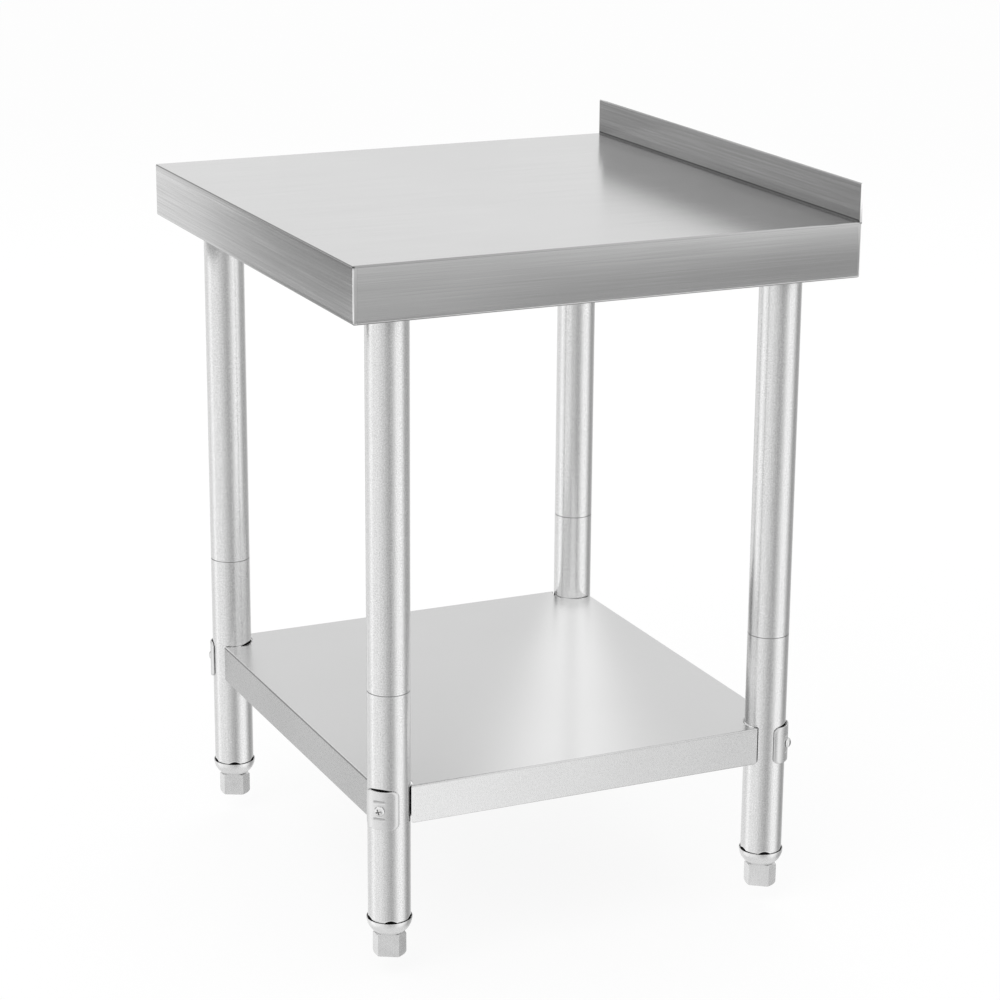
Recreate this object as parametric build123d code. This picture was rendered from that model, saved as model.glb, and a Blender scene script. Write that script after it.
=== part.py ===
from build123d import *
import math
import os

# Stainless work table that comes apart: a folded worktop with a rear upstand, four legs in two
# lengths, an undershelf clamped between the legs and four feet that screw in and out.
# Millimetres. +Z is up, the floor is z = 0 and the origin lies under the middle of the worktop.
# The user stands at -Y, and the upstand runs along the rear edge at +Y.

# ---- Worktop sheet ----
TOP_WIDTH = 640.0          # left to right
TOP_DEPTH = 600.0          # front to rear
WORK_HEIGHT = 800.0        # top face above the floor with the feet screwed right in
TOP_SHEET = 1.2            # sheet thickness
APRON_HEIGHT = 62.0        # turned-down edge, outside
APRON_LIP = 16.0           # return along the bottom of each apron
BEND_INNER = 0.8           # inside radius of every fold
UPSTAND_HEIGHT = 43.0      # above the top face
HEM_GAP = 0.3              # between the two leaves of the upstand
UPSTAND_COVE = 2.0         # inside radius at the foot of the upstand
UPSTAND_END_WELD = 1.0     # weld that closes each end of the upstand

# ---- Channels welded under the worktop ----
TOP_CHANNEL_DEPTH = 22.0
SIDE_CHANNEL_WEB = 84.0
MIDDLE_CHANNEL_WEB = 120.0
CHANNEL_FLANGE = 12.0
CHANNEL_SHEET = 1.2
CHANNEL_END_GAP = 1.0      # side channels to the front and rear aprons
MIDDLE_CHANNEL_GAP = 20.0  # open end of the middle channel to the side channels' flanges

# ---- Legs ----
LEG_DIAMETER = 48.0
LEG_WALL = 1.2
LEG_INSET = 63.0           # worktop edge to leg centre, front, rear and sides
LEG_JOINT_HEIGHT = 313.5   # where the two tubes of a leg meet

# ---- Leg sockets and their grub screws ----
SOCKET_CLEARANCE = 0.2     # radial, round the leg
SOCKET_WALL = 4.0
SOCKET_SLEEVE = 32.0       # how far the sleeve reaches down the leg
SOCKET_PLATE = 76.0
SOCKET_PLATE_THICKNESS = 3.0
SOCKET_PLATE_CORNER = 8.0
SOCKET_BOSS_DIAMETER = 16.0
SOCKET_BOSS_REACH = 9.0    # boss face beyond the leg surface
GRUB_DIAMETER = 8.0
GRUB_LENGTH = 12.0
GRUB_KEY = 4.0             # hexagon key size
GRUB_KEY_DEPTH = 4.5
GRUB_CLEARANCE = 0.1       # radial, in the boss
GRUB_SEAT = 0.05           # tip to leg surface

# ---- Coupling sleeves inside the leg joints ----
COUPLING_CLEARANCE = 0.1   # radial, inside the tubes
COUPLING_WALL = 2.0
COUPLING_REACH = 52.0      # into each tube
COUPLING_BEAD = 1.0        # height of the bead that parts the tubes
COUPLING_BEAD_DROP = 0.8   # bead surface below the leg surface

# ---- Undershelf ----
SHELF_TOP = 203.0          # top face above the floor
SHELF_OVERHANG = 17.0      # flange face beyond the leg centres
SHELF_SHEET = 1.0
SHELF_FLANGE = 44.5        # turned-down edge, outside
SHELF_LIP = 12.0
SHELF_LEG_GAP = 2.0        # cut-out round each leg
SHELF_END_RADIUS = 4.0     # lower corner of each flange end
SHELF_CHANNEL_WEB = 110.0
SHELF_CHANNEL_DEPTH = 20.0

# ---- Shelf corner brackets, clamp plates and clamp screws ----
BRACKET_GAP = 0.3          # saddle to leg
BRACKET_SHEET = 2.0
BRACKET_HEIGHT = 36.0
BRACKET_FOOT = 18.0        # weld foot along the flange
CLAMP_GAP = 1.7            # plate to leg
CLAMP_SHEET = 1.5
CLAMP_HALF_ANGLE = 49.0    # degrees each side of the screw
CLAMP_CORNER = 6.0
RIB_SPACING = 20.0         # between the two pressed ribs
RIB_WIDTH = 2.8
RIB_HALF_ANGLE = 15.0
RIB_SEAT = 0.3             # rib to leg
SCREW_DIAMETER = 6.0
SCREW_HEAD_DIAMETER = 12.0
SCREW_HEAD_HEIGHT = 3.8
SCREW_RECESS_LENGTH = 6.6
SCREW_RECESS_WIDTH = 1.4
SCREW_RECESS_DEPTH = 2.2
SCREW_CLEARANCE = 0.3      # radial, through plate, leg and bracket
SCREW_TAIL = 3.0           # beyond the nut
NUT_KEY = 10.0
NUT_HEIGHT = 5.0
NUT_CLEARANCE = 0.1        # radial, on the screw

# ---- Feet ----
FOOT_HEIGHT = 27.0         # six-sided part that stands on the floor
FOOT_SPANNER = 24.4        # across the two wide faces
FOOT_WIDE_FACE = 23.6      # width of each wide face
FOOT_ROUNDING = 3.5        # bottom edge
FOOT_TOP_SLOPE = 30.0      # degrees, turned chamfer at the top
FOOT_TOP_DIAMETER = 29.0   # where that chamfer starts
FOOT_GAP = 1.0             # foot to collar when screwed right in
FOOT_TRAVEL = 25.0         # how far each foot screws out
FOOT_TURN = {"front_left": -27.0, "front_right": -29.0, "rear_right": -37.0, "rear_left": -33.0}
COLLAR_HEIGHT = 17.5       # flared cup under the leg
COLLAR_BOTTOM_DIAMETER = 32.0
COLLAR_RIM_STAND = 1.7     # rim outside the leg surface
COLLAR_RIM_WALL = 0.7
COLLAR_CUP_DEPTH = 3.0     # leg end below the rim
PLUG_CLEARANCE = 0.1       # radial, inside the tube
PLUG_LENGTH = 30.0
PLUG_WALL = 2.0
PLUG_BOSS_DIAMETER = 24.0
PLUG_FLOOR = 4.0           # above the leg seat
STUD_DIAMETER = 16.0
STUD_CLEARANCE = 0.06      # radial, in the insert and in the foot
STUD_GRIP = 15.0           # thread left in the insert at full travel
STUD_IN_FOOT = 18.0
STUD_END_GAP = 0.3
STUD_CHAMFER = 1.0

# ---- Derived sizes ----
LEG_RADIUS = LEG_DIAMETER / 2
LEG_BORE = LEG_RADIUS - LEG_WALL
LEG_X = TOP_WIDTH / 2 - LEG_INSET
LEG_Y = TOP_DEPTH / 2 - LEG_INSET
TOP_UNDERSIDE = WORK_HEIGHT - TOP_SHEET
UPSTAND_THICKNESS = 2 * TOP_SHEET + HEM_GAP
SOCKET_TOP = TOP_UNDERSIDE - TOP_CHANNEL_DEPTH
LEG_TOP = SOCKET_TOP - SOCKET_PLATE_THICKNESS
COLLAR_BOTTOM = FOOT_HEIGHT + FOOT_GAP
COLLAR_RIM = COLLAR_BOTTOM + COLLAR_HEIGHT
LEG_BOTTOM = COLLAR_RIM - COLLAR_CUP_DEPTH
SHELF_WIDTH = 2 * (LEG_X + SHELF_OVERHANG)
SHELF_DEPTH = 2 * (LEG_Y + SHELF_OVERHANG)
SHELF_CUT_RADIUS = LEG_RADIUS + SHELF_LEG_GAP
CLAMP_HEIGHT = SHELF_FLANGE
CLAMP_LEVEL = SHELF_TOP - SHELF_FLANGE / 2
CLAMP_INNER = LEG_RADIUS + CLAMP_GAP
CLAMP_OUTER = CLAMP_INNER + CLAMP_SHEET
BRACKET_INNER = LEG_RADIUS + BRACKET_GAP
BRACKET_OUTER = BRACKET_INNER + BRACKET_SHEET
STUD_RADIUS = STUD_DIAMETER / 2
STUD_BOTTOM = FOOT_HEIGHT - STUD_IN_FOOT
STUD_TOP = COLLAR_BOTTOM + FOOT_TRAVEL + STUD_GRIP

# Each corner: name, side along X, side along Y.
CORNERS = [("front_left", -1, -1), ("front_right", 1, -1), ("rear_right", 1, 1), ("rear_left", -1, 1)]


# ---- Shapes used more than once ----
def block(x, y, z):
    """Box between the given (low, high) limits along each axis."""
    size = [high - low for low, high in (x, y, z)]
    middle = [(high + low) / 2 for low, high in (x, y, z)]
    return Pos(*middle) * Box(*size)


def ring(inner, outer, low, high):
    """Upright tube between two heights."""
    wall = Circle(outer) - Circle(inner)
    return Pos(0, 0, low) * extrude(wall, high - low)


def disc(radius, low, high):
    """Upright cylinder between two heights."""
    return Pos(0, 0, low) * extrude(Circle(radius), high - low)


def sector(inner, outer, half_angle, low, high):
    """Part of a ring, half_angle degrees each side of the +X axis."""
    front = 2 * outer
    side = front * math.tan(math.radians(half_angle))
    wedge = make_face(Polyline((0, 0), (front, -side), (front, side), close=True))
    return ring(inner, outer, low, high) & Pos(0, 0, low) * extrude(wedge, high - low)


def hexagon(key, low, high):
    """Hexagonal prism of the given spanner size between two heights."""
    outline = RegularPolygon(key / math.sqrt(3), 6)
    return Pos(0, 0, low) * extrude(outline, high - low)


def turned(points):
    """Solid turned about Z from (radius, height) points."""
    outline = make_face(Polyline(*[(radius, 0, height) for radius, height in points], close=True))
    return revolve(outline, Axis.Z)


def along_x(radius, start, end):
    """Cylinder that lies along X between two places."""
    return Pos(start, 0, 0) * Rot(0, 90, 0) * extrude(Circle(radius), end - start)


def fold_radius(sheet):
    """Outside radius of a fold in a sheet."""
    return BEND_INNER + sheet


def folded_tray(width, depth, height, sheet, lip):
    """Outside and hollow of a sheet with turned-down edges and lips, its top face at z = 0."""
    outer = block((-width / 2, width / 2), (-depth / 2, depth / 2), (-height, 0))
    outer = fillet(outer.edges(), fold_radius(sheet))
    inside = (width / 2 - sheet, depth / 2 - sheet)
    inner = block((-inside[0], inside[0]), (-inside[1], inside[1]), (sheet - height, -sheet))
    inner = fillet(inner.edges(), BEND_INNER)
    mouth = (width / 2 - lip, depth / 2 - lip)
    opening = block((-mouth[0], mouth[0]), (-mouth[1], mouth[1]), (-height - sheet, 2 * sheet - height))
    return outer, inner + opening


def hat_channel(length, web, depth):
    """Channel along X with flanges turned out at z = 0 and its web below."""
    wall = web / 2
    tip = wall + CHANNEL_FLANGE
    sheet = CHANNEL_SHEET
    inner = wall - sheet
    outer_side = [(tip, 0), (tip, -sheet), (wall, -sheet), (wall, -depth)]
    inner_side = [(-inner, 0), (-inner, sheet - depth), (inner, sheet - depth), (inner, 0)]
    outline = outer_side + [(-y, z) for y, z in reversed(outer_side)] + inner_side
    face = make_face(Polyline(*[(0, y, z) for y, z in outline], close=True))
    return Pos(-length / 2, 0, 0) * extrude(face, length, dir=(1, 0, 0))


# ---- Worktop ----
def worktop_sheet():
    """Worktop, its four aprons with lips, and the doubled upstand along the rear."""
    outer, inner = folded_tray(TOP_WIDTH, TOP_DEPTH, APRON_HEIGHT, TOP_SHEET, APRON_LIP)
    rear = TOP_DEPTH / 2
    side = TOP_WIDTH / 2
    front_face = rear - UPSTAND_THICKNESS
    reach = side - fold_radius(TOP_SHEET)
    leaf = block((-side, side), (front_face, rear), (-fold_radius(TOP_SHEET), UPSTAND_HEIGHT))
    hem = leaf.edges().filter_by(Axis.X).group_by(Axis.Z)[-1]
    leaf = fillet(hem, 0.49 * UPSTAND_THICKNESS)
    leaf += block((-reach, reach), (front_face, rear), (-APRON_HEIGHT / 2, 0))
    cove = block((-reach, reach), (front_face - UPSTAND_COVE, front_face), (0, UPSTAND_COVE))
    hollow = Pos(-reach, front_face - UPSTAND_COVE, UPSTAND_COVE) * Rot(0, 90, 0)
    cove -= hollow * extrude(Circle(UPSTAND_COVE), 2 * reach)
    slit_side = side - UPSTAND_END_WELD
    slit_rear = rear - TOP_SHEET
    slit_top = UPSTAND_HEIGHT - TOP_SHEET
    slit = block((-slit_side, slit_side), (slit_rear - HEM_GAP, slit_rear), (-2 * TOP_SHEET, slit_top))
    return Pos(0, 0, WORK_HEIGHT) * (outer + leaf + cove - inner - slit)


def side_channel(side):
    """Channel that runs front to rear over one pair of legs and carries their sockets."""
    length = TOP_DEPTH - 2 * TOP_SHEET - 2 * CHANNEL_END_GAP
    channel = hat_channel(length, SIDE_CHANNEL_WEB, TOP_CHANNEL_DEPTH)
    return Pos(side * LEG_X, 0, TOP_UNDERSIDE) * Rot(0, 0, 90) * channel


def middle_channel():
    """Channel across the middle of the worktop. Its open ends stop short of the side channels."""
    side_reach = SIDE_CHANNEL_WEB / 2 + CHANNEL_FLANGE + MIDDLE_CHANNEL_GAP
    length = 2 * (LEG_X - side_reach)
    return Pos(0, 0, TOP_UNDERSIDE) * hat_channel(length, MIDDLE_CHANNEL_WEB, TOP_CHANNEL_DEPTH)


# ---- Legs, built round z at the leg centre, with +X along the outward diagonal ----
def leg_socket():
    """Cast socket: a plate under the channel, a sleeve round the leg and a grub screw boss."""
    bore = LEG_RADIUS + SOCKET_CLEARANCE
    plate = RectangleRounded(SOCKET_PLATE, SOCKET_PLATE, SOCKET_PLATE_CORNER)
    plate = Rot(0, 0, 45) * Pos(0, 0, LEG_TOP) * extrude(plate, SOCKET_PLATE_THICKNESS)
    low = LEG_TOP - SOCKET_SLEEVE
    level = LEG_TOP - SOCKET_SLEEVE / 2
    boss = along_x(SOCKET_BOSS_DIAMETER / 2, -LEG_RADIUS - SOCKET_BOSS_REACH, 0)
    sleeve = disc(bore + SOCKET_WALL, low, LEG_TOP) + Pos(0, 0, level) * boss
    sleeve -= disc(bore, low, LEG_TOP)
    tap = along_x(GRUB_DIAMETER / 2 + GRUB_CLEARANCE, -2 * LEG_DIAMETER, 0)
    return plate + sleeve - Pos(0, 0, level) * tap


def grub_screw():
    """Hexagon socket grub screw that holds the leg in its socket."""
    tip = -LEG_RADIUS - GRUB_SEAT
    body = along_x(GRUB_DIAMETER / 2, tip - GRUB_LENGTH, tip)
    key = Rot(0, 90, 0) * hexagon(GRUB_KEY, 0, GRUB_KEY_DEPTH)
    key = Pos(tip - GRUB_LENGTH, 0, 0) * key
    return Pos(0, 0, LEG_TOP - SOCKET_SLEEVE / 2) * (body - key)


def upper_leg():
    """Upper tube of a leg, from the coupling bead up to the socket plate."""
    return ring(LEG_BORE, LEG_RADIUS, LEG_JOINT_HEIGHT + COUPLING_BEAD / 2, LEG_TOP)


def leg_coupling():
    """Sleeve inside the two tubes of a leg, with a bead between their ends."""
    outer = LEG_BORE - COUPLING_CLEARANCE
    inner = outer - COUPLING_WALL
    reach = COUPLING_REACH + COUPLING_BEAD / 2
    sleeve = ring(inner, outer, LEG_JOINT_HEIGHT - reach, LEG_JOINT_HEIGHT + reach)
    bead_low = LEG_JOINT_HEIGHT - COUPLING_BEAD / 2
    bead = ring(inner, LEG_RADIUS - COUPLING_BEAD_DROP, bead_low, bead_low + COUPLING_BEAD)
    return sleeve + bead


def lower_leg():
    """Lower tube of a leg, drilled through for the clamp screw."""
    tube = ring(LEG_BORE, LEG_RADIUS, LEG_BOTTOM, LEG_JOINT_HEIGHT - COUPLING_BEAD / 2)
    drill = along_x(SCREW_DIAMETER / 2 + SCREW_CLEARANCE, -LEG_DIAMETER, LEG_DIAMETER)
    return tube - Pos(0, 0, CLAMP_LEVEL) * drill


# ---- Undershelf ----
def shelf_flange_ends(corner_x, corner_y):
    """Slivers that round the lower corner of the two flange ends at one leg."""
    along = math.sqrt(SHELF_CUT_RADIUS ** 2 - SHELF_OVERHANG ** 2)
    size = SHELF_END_RADIUS
    square = Rectangle(size, size, align=(Align.MIN, Align.MIN)) - Pos(size, size) * Circle(size)
    sliver = Rot(90, 0, 0) * extrude(square, 2 * SHELF_LIP, both=True)
    level = SHELF_TOP - SHELF_FLANGE
    on_side = Pos(0, -along, level) * Rot(0, 0, -90) * sliver
    on_front = Pos(-along, 0, level) * Rot(0, 0, 180) * sliver
    ends = Pos(SHELF_OVERHANG, 0, 0) * on_side + Pos(0, SHELF_OVERHANG, 0) * on_front
    turn = math.degrees(math.atan2(corner_y, corner_x)) - 45
    return Pos(corner_x * LEG_X, corner_y * LEG_Y, 0) * Rot(0, 0, turn) * ends


def shelf_sheet():
    """Undershelf with turned-down flanges and lips, cut out round the four legs."""
    outer, inner = folded_tray(SHELF_WIDTH, SHELF_DEPTH, SHELF_FLANGE, SHELF_SHEET, SHELF_LIP)
    shelf = Pos(0, 0, SHELF_TOP) * (outer - inner)
    for _, x, y in CORNERS:
        cut = disc(SHELF_CUT_RADIUS, SHELF_TOP - 2 * SHELF_FLANGE, SHELF_TOP + SHELF_FLANGE)
        shelf -= Pos(x * LEG_X, y * LEG_Y, 0) * cut
        shelf -= shelf_flange_ends(x, y)
    return shelf


def shelf_channel():
    """Channel welded under the middle of the shelf."""
    reach = SHELF_LIP + CHANNEL_END_GAP
    channel = hat_channel(SHELF_WIDTH - 2 * reach, SHELF_CHANNEL_WEB, SHELF_CHANNEL_DEPTH)
    return Pos(0, 0, SHELF_TOP - SHELF_SHEET) * channel


# ---- Shelf clamps, with +X along the outward diagonal ----
def shelf_bracket():
    """Saddle behind the leg, with two arms welded to the inside of the shelf flanges."""
    low = CLAMP_LEVEL - BRACKET_HEIGHT / 2
    high = low + BRACKET_HEIGHT
    flange_face = SHELF_OVERHANG - SHELF_SHEET
    saddle = Rot(0, 0, 225) * sector(BRACKET_INNER, BRACKET_OUTER, 45, low, high)
    arm = block((0, flange_face), (-BRACKET_OUTER, -BRACKET_INNER), (low, high))
    foot_x = (flange_face - BRACKET_SHEET, flange_face)
    foot = block(foot_x, (-BRACKET_OUTER - BRACKET_FOOT, -BRACKET_INNER), (low, high))
    side = arm + foot
    bracket = saddle + side + mirror(side, Plane.XZ.rotated((0, 0, 45)))
    drill = along_x(SCREW_DIAMETER / 2 + SCREW_CLEARANCE, -2 * LEG_DIAMETER, 0)
    return Rot(0, 0, -45) * bracket - Pos(0, 0, CLAMP_LEVEL) * drill


def clamp_plate():
    """Curved plate outside the leg, with two ribs pressed in to bear on it."""
    low = -CLAMP_HEIGHT / 2
    high = CLAMP_HEIGHT / 2
    plate = sector(CLAMP_INNER, CLAMP_OUTER, CLAMP_HALF_ANGLE, low, high)
    chord = 2 * CLAMP_OUTER * math.sin(math.radians(CLAMP_HALF_ANGLE))
    outline = RectangleRounded(CLAMP_HEIGHT, chord, CLAMP_CORNER)
    plate &= Rot(0, 90, 0) * extrude(outline, 2 * LEG_DIAMETER)
    press = CLAMP_GAP - RIB_SEAT
    edge = math.degrees(CLAMP_SHEET / CLAMP_INNER)
    for level in (-RIB_SPACING / 2, RIB_SPACING / 2):
        groove = (level - RIB_WIDTH / 2, level + RIB_WIDTH / 2)
        back = (groove[0] - CLAMP_SHEET / 2, groove[1] + CLAMP_SHEET / 2)
        plate += sector(CLAMP_INNER - press, CLAMP_INNER + press / 2, RIB_HALF_ANGLE + edge, *back)
        plate -= sector(CLAMP_OUTER - press, CLAMP_OUTER + press, RIB_HALF_ANGLE, *groove)
    plate -= along_x(SCREW_DIAMETER / 2 + SCREW_CLEARANCE, 0, 2 * LEG_DIAMETER)
    return Pos(0, 0, CLAMP_LEVEL) * plate


def clamp_screw():
    """Pan-head screw with a cross recess, from the clamp plate through leg and bracket."""
    tail = -BRACKET_OUTER - NUT_HEIGHT - SCREW_TAIL
    shank = along_x(SCREW_DIAMETER / 2, tail, CLAMP_OUTER)
    radius = SCREW_HEAD_DIAMETER / 2
    rim = 0.35 * SCREW_HEAD_HEIGHT
    dome = ThreePointArc((radius, 0, rim), (0.72 * radius, 0, 0.85 * SCREW_HEAD_HEIGHT),
                         (0, 0, SCREW_HEAD_HEIGHT))
    sides = Polyline((0, 0, SCREW_HEAD_HEIGHT), (0, 0, 0), (radius, 0, 0), (radius, 0, rim))
    head = revolve(make_face(dome + sides), Axis.Z)
    floor = SCREW_HEAD_HEIGHT - SCREW_RECESS_DEPTH
    arm = (-SCREW_RECESS_LENGTH / 2, SCREW_RECESS_LENGTH / 2)
    slot = (-SCREW_RECESS_WIDTH / 2, SCREW_RECESS_WIDTH / 2)
    recess = block(arm, slot, (floor, 2 * SCREW_HEAD_HEIGHT))
    recess += block(slot, arm, (floor, 2 * SCREW_HEAD_HEIGHT))
    head = Rot(0, 90, 0) * Rot(0, 0, 20) * (head - recess)
    return Pos(0, 0, CLAMP_LEVEL) * (shank + Pos(CLAMP_OUTER, 0, 0) * head)


def clamp_nut():
    """Hexagon nut behind the saddle of the shelf bracket."""
    nut = hexagon(NUT_KEY, 0, NUT_HEIGHT) - disc(SCREW_DIAMETER / 2 + NUT_CLEARANCE, 0, NUT_HEIGHT)
    return Pos(-BRACKET_OUTER - NUT_HEIGHT, 0, CLAMP_LEVEL) * Rot(0, 90, 0) * nut


# ---- Feet ----
def foot_insert():
    """Insert that closes the leg: flared collar outside, plug inside, tapped for the stud."""
    rim = LEG_RADIUS + COLLAR_RIM_STAND
    base = COLLAR_BOTTOM_DIAMETER / 2
    drop = rim - base
    flare = (drop ** 2 + COLLAR_HEIGHT ** 2) / (2 * drop)
    bow = rim - flare + math.sqrt(flare ** 2 - (COLLAR_HEIGHT / 2) ** 2)
    curve = ThreePointArc((base, 0, COLLAR_BOTTOM), (bow, 0, COLLAR_RIM - COLLAR_HEIGHT / 2),
                          (rim, 0, COLLAR_RIM))
    plug = LEG_BORE - PLUG_CLEARANCE
    cup = rim - COLLAR_RIM_WALL
    bore = STUD_RADIUS + STUD_CLEARANCE
    top = LEG_BOTTOM + PLUG_LENGTH
    inside = [(rim, COLLAR_RIM), (cup, COLLAR_RIM), (cup, LEG_BOTTOM), (plug, LEG_BOTTOM), (plug, top),
              (plug - PLUG_WALL, top), (plug - PLUG_WALL, LEG_BOTTOM + PLUG_FLOOR),
              (PLUG_BOSS_DIAMETER / 2, LEG_BOTTOM + PLUG_FLOOR), (PLUG_BOSS_DIAMETER / 2, top),
              (bore, top), (bore, COLLAR_BOTTOM), (base, COLLAR_BOTTOM)]
    path = Polyline(*[(radius, 0, height) for radius, height in inside])
    return revolve(make_face(curve + path), Axis.Z)


def foot_stud():
    """Stud that carries the foot and screws into the insert."""
    neck = STUD_RADIUS - STUD_CHAMFER
    return turned([(0, STUD_BOTTOM), (STUD_RADIUS, STUD_BOTTOM), (STUD_RADIUS, STUD_TOP - STUD_CHAMFER),
                   (neck, STUD_TOP), (0, STUD_TOP)])


def levelling_foot():
    """Six-sided foot with two wide spanner faces, rounded below and chamfered above."""
    face = FOOT_SPANNER / 2
    half = FOOT_WIDE_FACE / 2
    point = half + face * math.tan(math.radians(30))
    outline = [(face, half), (0, point), (-face, half), (-face, -half), (0, -point), (face, -half)]
    prism = extrude(make_face(Polyline(*outline, close=True)), FOOT_HEIGHT)
    top = FOOT_TOP_DIAMETER / 2
    fall = (point - top) * math.tan(math.radians(FOOT_TOP_SLOPE))
    sole = point - FOOT_ROUNDING
    corner = point - FOOT_ROUNDING * (1 - math.sqrt(0.5))
    lift = FOOT_ROUNDING * (1 - math.sqrt(0.5))
    round_edge = ThreePointArc((sole, 0, 0), (corner, 0, lift), (point, 0, FOOT_ROUNDING))
    rest = Polyline((point, 0, FOOT_ROUNDING), (point, 0, FOOT_HEIGHT - fall), (top, 0, FOOT_HEIGHT),
                    (0, 0, FOOT_HEIGHT), (0, 0, 0), (sole, 0, 0))
    prism &= revolve(make_face(round_edge + rest), Axis.Z)
    return prism - disc(STUD_RADIUS + STUD_CLEARANCE, STUD_BOTTOM - STUD_END_GAP, 2 * FOOT_HEIGHT)


# ---- Assembly ----
def at_corner(piece, x, y):
    """Turn a piece from the outward diagonal and set it at its leg."""
    turn = math.degrees(math.atan2(y, x))
    return Pos(x * LEG_X, y * LEG_Y, 0) * Rot(0, 0, turn) * piece


def save(name, *solids):
    """Write one node, as one solid or as a group of separate solids."""
    shape = solids[0] if len(solids) == 1 else Compound(children=list(solids))
    export_step(shape, f"parts/{name}.step")


def build():
    """Build every piece and write it to its own file."""
    os.makedirs("parts", exist_ok=True)
    save("worktop_sheet", worktop_sheet())
    save("side_channel_left", side_channel(-1))
    save("side_channel_right", side_channel(1))
    save("middle_channel", middle_channel())
    save("shelf_sheet", shelf_sheet())
    save("shelf_channel", shelf_channel())
    pieces = {"leg_socket": leg_socket(), "upper_leg": upper_leg(), "leg_coupling": leg_coupling(),
              "lower_leg": lower_leg(), "shelf_bracket": shelf_bracket(), "clamp_plate": clamp_plate(),
              "clamp_screw": clamp_screw(), "foot_insert": foot_insert(), "foot_stud": foot_stud()}
    foot = levelling_foot()
    for corner, x, y in CORNERS:
        for name, piece in pieces.items():
            save(f"{name}_{corner}", at_corner(piece, x, y))
        turned_foot = Rot(0, 0, FOOT_TURN[corner]) * foot
        save(f"levelling_foot_{corner}", Pos(x * LEG_X, y * LEG_Y, 0) * turned_foot)
    save("grub_screws", *[at_corner(grub_screw(), x, y) for _, x, y in CORNERS])
    save("clamp_nuts", *[at_corner(clamp_nut(), x, y) for _, x, y in CORNERS])


build()
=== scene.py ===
# %% [markdown]
# # A stainless work table
#
# The table is a kitchen bench: a folded worktop with a low upstand along the back, four round
# legs, a shelf clamped between them and four screw-in feet. Its construction is already packed
# as solids. This lesson dresses them: it sets a camera and a studio, gives every metal its own
# finish, and adds the surfaces that a plain solid leaves out, such as threads, pressed ribs and
# weld beads.

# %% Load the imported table
import math

import bpy
import numpy as np
from mathutils import Matrix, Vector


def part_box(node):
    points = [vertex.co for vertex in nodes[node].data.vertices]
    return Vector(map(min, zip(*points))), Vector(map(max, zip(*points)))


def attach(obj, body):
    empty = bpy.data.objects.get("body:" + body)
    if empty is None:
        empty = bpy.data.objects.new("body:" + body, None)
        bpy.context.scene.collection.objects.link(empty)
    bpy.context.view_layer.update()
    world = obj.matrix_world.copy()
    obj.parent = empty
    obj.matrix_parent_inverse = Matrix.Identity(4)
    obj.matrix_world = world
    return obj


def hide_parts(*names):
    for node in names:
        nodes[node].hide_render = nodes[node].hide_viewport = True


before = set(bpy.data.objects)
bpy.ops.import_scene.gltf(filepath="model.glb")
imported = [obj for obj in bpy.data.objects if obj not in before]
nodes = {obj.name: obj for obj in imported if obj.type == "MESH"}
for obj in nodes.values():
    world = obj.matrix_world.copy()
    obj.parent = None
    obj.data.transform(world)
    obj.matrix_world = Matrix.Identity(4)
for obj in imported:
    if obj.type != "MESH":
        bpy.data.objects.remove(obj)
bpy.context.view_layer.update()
MM = 0.001
CORNERS = {"front_left": (-1, -1), "front_right": (1, -1), "rear_right": (1, 1), "rear_left": (-1, 1)}


# %% [markdown]
# ## Places
#
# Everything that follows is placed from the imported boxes. The legs stand where the foot studs
# are, and the heights of the sheets come from their own boxes. Only the thickness of the
# worktop's sheet is written down, because no box shows it.

# %% Read the places that the lesson needs
def box(node):
    """Lowest and highest corner of a solid as two arrays, in metres."""
    low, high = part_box(node)
    return np.array(low), np.array(high)


def middle(node):
    """Middle of a solid's box."""
    low, high = box(node)
    return (low + high) / 2


TOP_LOW, TOP_HIGH = box("worktop_sheet")
SHELF_LOW, SHELF_HIGH = box("shelf_sheet")
LEG = {corner: middle(f"foot_stud_{corner}")[:2] for corner in CORNERS}
TOP_SHEET = 1.2 * MM
WORKTOP = box("side_channel_left")[1][2] + TOP_SHEET
LEG_RADIUS = (box("upper_leg_front_left")[1][0] - box("upper_leg_front_left")[0][0]) / 2
print("worktop face at", round(WORKTOP / MM, 1), "mm, leg radius", round(LEG_RADIUS / MM, 1), "mm")


# %% [markdown]
# ## Camera
#
# A long lens from some distance keeps the verticals nearly parallel, as a catalogue view does.
# The camera is placed by its heading, its height angle and its distance from the point that it
# looks at. A tiny roll is added last. Depth of field stays off.

# %% Make the camera
def camera(aim, heading, height_angle, roll, distance, lens):
    """Camera that looks at aim. Its backward axis is (sin a cos e, -cos a cos e, sin e)."""
    a, e, r = (math.radians(angle) for angle in (heading, height_angle, roll))
    back = np.array([math.sin(a) * math.cos(e), -math.cos(a) * math.cos(e), math.sin(e)])
    level = np.array([math.cos(a), math.sin(a), 0.0])
    rise = np.cross(back, level)
    right = level * math.cos(r) + rise * math.sin(r)
    turn = np.eye(4)
    turn[:3, :3] = np.column_stack([right, np.cross(back, right), back])
    turn[:3, 3] = np.array(aim) + distance * back
    data = bpy.data.cameras.new("camera")
    data.lens = lens
    data.clip_end = 200.0
    made = bpy.data.objects.new("camera", data)
    bpy.context.scene.collection.objects.link(made)
    made.matrix_world = Matrix(turn.tolist())
    return made


view_camera = camera(aim=(-0.0395, 0.0314, 0.415), heading=65.29, height_angle=16.68, roll=0.416,
                     distance=3.4797, lens=103.97)
bpy.context.scene.camera = view_camera
print("camera stands at", [round(v, 2) for v in view_camera.matrix_world.translation])


# %% [markdown]
# ## Shader arithmetic
#
# A node tree is easier to read as algebra. `Wire` holds one output socket and turns +, -, * and /
# into Math nodes, also when the number stands on the left, as in `1 - mask`. Every other node
# comes from `Board.node`, which takes its type, its settings and what goes into its sockets.

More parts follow.
